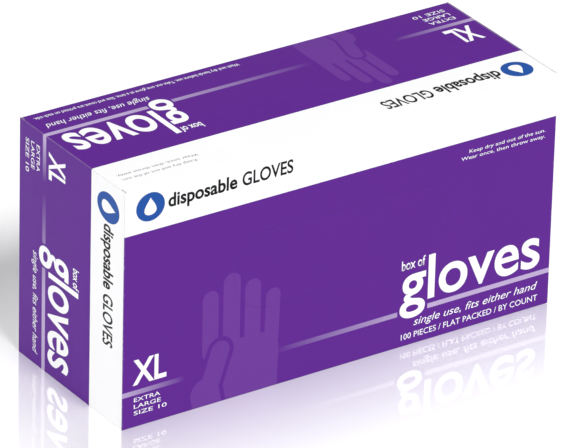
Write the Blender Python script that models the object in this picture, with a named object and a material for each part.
"""A paperboard dispenser carton of disposable gloves, standing on its long narrow side.

Metres, +Z up. X runs along the length, the front panel faces -Y, and the origin is the centre of
the face that the carton stands on. Each panel and flap of the folded blank is its own solid, which
stops short of its creases. A flap's parent empty lies on its crease.
"""

import math

import bmesh
import bpy
from mathutils import Matrix, Vector

MM = 0.001

# Carton, outside sizes.
LENGTH = 240 * MM
DEPTH = 90 * MM
HEIGHT = 122 * MM
BOARD = 0.5 * MM
GAP = 0.3 * MM  # between neighbouring pieces

# Tear-out panel in the front, a bar with round ends.
TEAR_LENGTH = 120 * MM
TEAR_HEIGHT = 39.5 * MM
TEAR_CENTRE_Z = 62.7 * MM
ARC_STEPS = 20  # segments in each half circle

# End closures.
TAB_DEPTH = 16 * MM
TAB_TILT = math.radians(12)  # how far a tucked tab leans away from the front panel
TAB_CORNER = 9 * MM
DUST_LENGTH = 42 * MM
DUST_FRONT = 4.5 * MM  # relief beside the tuck tab
DUST_BACK = 2.3 * MM  # relief beside the closure's crease
DUST_TAPER = math.radians(40)
DUST_CORNER = 6 * MM
CORNER_STEPS = 5

# Glue flap.
GLUE_FLAP_WIDTH = 15 * MM
GLUE_FLAP_TAPER = 6 * MM

# Gloves, flat and parallel to the front panel.
GLOVE_LENGTH = 232 * MM
STACK_FRONT = 4.9 * MM  # from the front panel's outer face, which leaves room for the tuck tabs
STACK_BACK = 1.6 * MM  # from the back panel's outer face, which leaves room for the glue flap
GLOVE_COUNT = 100
SINGLE_GLOVES = 10  # those nearest the front are separate, and the rest lie in bundles of ten
BUNDLE = 10
GLOVE_CLEARANCE = 0.32 * MM  # between one glove or bundle and the next
GLOVE_LIFT = 0.9 * MM  # from the ground to the gloves' lower edge

PURPLE = (0.127, 0.032, 0.292, 1)
LINER = (0.62, 0.58, 0.50, 1)
BLACK_NITRILE = (0.012, 0.012, 0.014, 1)

# Derived places.
HALF_LENGTH = LENGTH / 2
HALF_DEPTH = DEPTH / 2
CREASE = BOARD + GAP  # a panel stops this far short of the outer face round the corner
DUST_OUTER = HALF_LENGTH - BOARD - GAP  # the dust flaps lie just inside the closures
TAB_OUTER = HALF_DEPTH - BOARD - GAP  # the tuck tabs lie just inside the front panel


def clear_scene():
    for old in list(bpy.data.objects):
        bpy.data.objects.remove(old, do_unlink=True)


def material(name, colour, roughness):
    made = bpy.data.materials.new(name)
    made.use_nodes = True
    shader = made.node_tree.nodes["Principled BSDF"]
    shader.inputs["Base Color"].default_value = colour
    shader.inputs["Roughness"].default_value = roughness
    shader.inputs["Metallic"].default_value = 0.0
    return made


def add_object(name, mesh, look):
    placed = bpy.data.objects.new(name, mesh)
    placed.data.materials.append(look)
    bpy.context.scene.collection.objects.link(placed)
    return placed


def plate(name, outline, thickness, look, holes=()):
    """A flat plate. outline and holes are lists of (x, y), and the plate rises from z = 0."""
    shape = bmesh.new()
    edges = []
    for loop in (outline, *holes):
        corners = [shape.verts.new((x, y, 0)) for x, y in loop]
        for here, there in zip(corners, corners[1:] + corners[:1]):
            edges.append(shape.edges.new((here, there)))
    bmesh.ops.triangle_fill(shape, edges=edges, use_beauty=True, normal=Vector((0, 0, 1)))
    base = list(shape.faces)
    raised = bmesh.ops.extrude_face_region(shape, geom=base)
    lifted = [part for part in raised["geom"] if isinstance(part, bmesh.types.BMVert)]
    bmesh.ops.translate(shape, verts=lifted, vec=(0, 0, thickness))
    bmesh.ops.recalc_face_normals(shape, faces=shape.faces)
    mesh = bpy.data.meshes.new(name)
    shape.to_mesh(mesh)
    shape.free()
    return add_object(name, mesh, look)


def arc(centre, radius, first_degrees, last_degrees, steps):
    """Points along an arc of a circle, both ends included."""
    points = []
    for step in range(steps + 1):
        angle = math.radians(first_degrees + (last_degrees - first_degrees) * step / steps)
        points.append((centre[0] + radius * math.cos(angle), centre[1] + radius * math.sin(angle)))
    return points


def rectangle(low_x, high_x, low_y, high_y):
    return [(low_x, low_y), (high_x, low_y), (high_x, high_y), (low_x, high_y)]


def round_bar(length, height):
    """A bar with half-circle ends, centred on the origin."""
    radius = height / 2
    straight = length / 2 - radius
    return (arc((straight, 0), radius, -90, 90, ARC_STEPS)
            + arc((-straight, 0), radius, 90, 270, ARC_STEPS))


def basis(along, across, normal, origin):
    """The matrix that lays a plate's x, y and z along three directions from an origin."""
    turned = Matrix((along, across, normal)).transposed().to_4x4()
    return Matrix.Translation(origin) @ turned


FRONT_BASIS = basis((1, 0, 0), (0, 0, 1), (0, -1, 0), (0, BOARD - HALF_DEPTH, 0))
BACK_BASIS = basis((-1, 0, 0), (0, 0, 1), (0, 1, 0), (0, HALF_DEPTH - BOARD, 0))
TOP_BASIS = basis((1, 0, 0), (0, 1, 0), (0, 0, 1), (0, 0, HEIGHT - BOARD))
BOTTOM_BASIS = basis((1, 0, 0), (0, 1, 0), (0, 0, 1), (0, 0, 0))


def build_sleeve(board):
    window = [(x, y + TEAR_CENTRE_Z) for x, y in
              round_bar(TEAR_LENGTH + 2 * GAP, TEAR_HEIGHT + 2 * GAP)]
    front = plate("front_panel", rectangle(-HALF_LENGTH, HALF_LENGTH, CREASE, HEIGHT - CREASE),
                  BOARD, board, holes=[window])
    front.matrix_world = FRONT_BASIS

    tear_out = plate("tear_out_panel", round_bar(TEAR_LENGTH, TEAR_HEIGHT), BOARD, board)
    tear_out.matrix_world = FRONT_BASIS @ Matrix.Translation((0, TEAR_CENTRE_Z, 0))

    back_reach = DUST_OUTER + BOARD - CREASE
    back = plate("back_panel", rectangle(-back_reach, back_reach, CREASE, HEIGHT - CREASE),
                 BOARD, board)
    back.matrix_world = BACK_BASIS

    end_reach = DUST_OUTER - CREASE
    for name, lay in (("top_panel", TOP_BASIS), ("bottom_panel", BOTTOM_BASIS)):
        panel = plate(name, rectangle(-end_reach, end_reach, CREASE - HALF_DEPTH,
                                      HALF_DEPTH - CREASE), BOARD, board)
        panel.matrix_world = lay


def build_glue_flap(board):
    """The strip that rises from the bottom panel's back crease and is glued inside the back panel."""
    reach = DUST_OUTER - 2 * CREASE
    outline = [(-reach, 0), (reach, 0), (reach - GLUE_FLAP_TAPER, GLUE_FLAP_WIDTH),
               (GLUE_FLAP_TAPER - reach, GLUE_FLAP_WIDTH)]
    flap = plate("glue_flap", outline, BOARD, board)
    flap.matrix_world = basis((-1, 0, 0), (0, 0, 1), (0, 1, 0),
                              (0, HALF_DEPTH - 2 * BOARD - GAP, CREASE))


def crease_empty(name, place, parent=None):
    empty = bpy.data.objects.new(name, None)
    empty.empty_display_size = 0.01
    bpy.context.scene.collection.objects.link(empty)
    empty.parent = parent
    empty.location = place
    return empty


def tab_outline():
    """The tuck tab from its crease at x = 0, with rounded outer corners."""
    low, high = CREASE + 1.2 * MM, HEIGHT - CREASE - 1.2 * MM
    inner = TAB_DEPTH - TAB_CORNER
    start = BOARD / 2 + GAP
    return ([(start, low)] + arc((inner, low + TAB_CORNER), TAB_CORNER, -90, 0, CORNER_STEPS)
            + arc((inner, high - TAB_CORNER), TAB_CORNER, 0, 90, CORNER_STEPS) + [(start, high)])


def dust_outline():
    """A dust flap. y is the distance from its crease, and x runs from the carton's front to its back."""
    start = BOARD / 2 + GAP
    front = DUST_FRONT - HALF_DEPTH
    back_root = HALF_DEPTH - CREASE - DUST_BACK
    back_tip = back_root - (DUST_LENGTH - start) * math.tan(DUST_TAPER)
    corner = arc((front + DUST_CORNER, DUST_LENGTH - DUST_CORNER), DUST_CORNER, 180, 90,
                 CORNER_STEPS)
    return [(back_root, start), (front, start)] + corner + [(back_tip, DUST_LENGTH)]


def build_end(side_name, side, board):
    """The closure, its tuck tab and the two dust flaps at one end. side is -1 at the left end."""
    closure_crease = crease_empty(
        side_name + "_closure_crease",
        (side * (HALF_LENGTH - BOARD / 2), HALF_DEPTH - BOARD / 2, 0))
    width = HALF_DEPTH - BOARD / 2 + TAB_OUTER - BOARD / 2  # from one crease to the other
    trim = BOARD / 2 + GAP
    closure = plate(side_name + "_end_closure",
                    rectangle(trim, width - trim, BOARD, HEIGHT - BOARD), BOARD, board)
    closure.parent = closure_crease
    closure.matrix_local = basis((0, -1, 0), (0, 0, 1), (-1, 0, 0), (BOARD / 2, 0, 0))

    tab_crease = crease_empty(side_name + "_tuck_crease", (0, -width, 0), closure_crease)
    tab = plate(side_name + "_tuck_tab", tab_outline(), BOARD, board)
    tab.parent = tab_crease
    inward = Vector((-side * math.cos(TAB_TILT), math.sin(TAB_TILT), 0))
    normal = inward.cross(Vector((0, 0, 1)))
    tab.matrix_local = basis(inward, (0, 0, 1), normal, -normal * BOARD / 2)

    for level, up in (("upper", 1), ("lower", -1)):
        middle = HEIGHT / 2 + up * (HEIGHT - BOARD) / 2
        dust_crease = crease_empty(f"{side_name}_{level}_dust_crease",
                                   (side * (DUST_OUTER - BOARD / 2), 0, middle))
        dust = plate(f"{side_name}_{level}_dust_flap", dust_outline(), BOARD, board)
        dust.parent = dust_crease
        dust.matrix_local = basis((0, 1, 0), (0, 0, -up), (-up, 0, 0), (up * BOARD / 2, 0, 0))


# A glove's outline, in its own frame: x from the cuff's edge to the longest fingertip, y across.
CUFF = (5 * MM, 107 * MM)
PALM_LOW = 0.6 * MM
PALM_HIGH = 104 * MM
WEBS_AT = 138 * MM
FINGERS = (  # tip's x, low side, high side
    (196 * MM, 0.6 * MM, 24.5 * MM),
    (223 * MM, 27 * MM, 51.5 * MM),
    (232 * MM, 54 * MM, 79 * MM),
    (220 * MM, 81.5 * MM, 104 * MM),
)
THUMB_RADIUS = 11 * MM
THUMB_TIP = (160 * MM, 105 * MM)  # centre of the round tip
THUMB_ROOT = 66 * MM
FINGER_STEPS = 7


def glove_outline():
    """A flat glove: cuff, palm, four fingers side by side, and the thumb folded along the palm."""
    points = [(0, CUFF[0]), (WEBS_AT / 2, PALM_LOW)]
    for tip, low, high in FINGERS[:-1]:
        radius = (high - low) / 2
        points.append((WEBS_AT, low))
        points += arc((tip - radius, low + radius), radius, -90, 90, FINGER_STEPS)
        points.append((WEBS_AT, high))
    tip, low, _ = FINGERS[-1]
    radius = (PALM_HIGH - low) / 2 - 2 * MM
    points.append((WEBS_AT, low))
    points += arc((tip - radius, low + radius), radius, -90, 90, FINGER_STEPS)
    points.append((THUMB_TIP[0] + THUMB_RADIUS + 4 * MM, PALM_HIGH - 4 * MM))
    points += arc(THUMB_TIP, THUMB_RADIUS, -20, 90, FINGER_STEPS)
    points += [(THUMB_ROOT, THUMB_TIP[1] + THUMB_RADIUS - 5 * MM), (0, CUFF[1])]
    return points


def build_gloves(nitrile):
    """The stack. Gloves lie in alternate directions, so their thick cuffs share the two ends."""
    front = STACK_FRONT - HALF_DEPTH
    pitch = (DEPTH - STACK_FRONT - STACK_BACK) / GLOVE_COUNT
    outline = [(x - GLOVE_LENGTH / 2, y + GLOVE_LIFT) for x, y in glove_outline()]
    layers = [(f"glove_{number:02d}", 1) for number in range(1, SINGLE_GLOVES + 1)]
    bundles = (GLOVE_COUNT - SINGLE_GLOVES) // BUNDLE
    layers += [(f"glove_bundle_{number}", BUNDLE) for number in range(1, bundles + 1)]
    placed = 0
    for index, (name, count) in enumerate(layers):
        near = front + placed * pitch
        far = near + count * pitch - GLOVE_CLEARANCE
        glove = plate(name, outline, far - near, nitrile)
        way = 1 if index % 2 == 0 else -1
        glove.matrix_world = basis((way, 0, 0), (0, 0, 1), (0, -way, 0),
                                   (0, far if way == 1 else near, 0))
        placed += count


def main():
    clear_scene()
    board = material("printed_board", PURPLE, 0.35)
    plain_board = material("plain_board", LINER, 0.85)
    nitrile = material("black_nitrile", BLACK_NITRILE, 0.45)
    build_sleeve(board)
    build_glue_flap(plain_board)
    build_end("left", -1, board)
    build_end("right", 1, board)
    build_gloves(nitrile)


main()
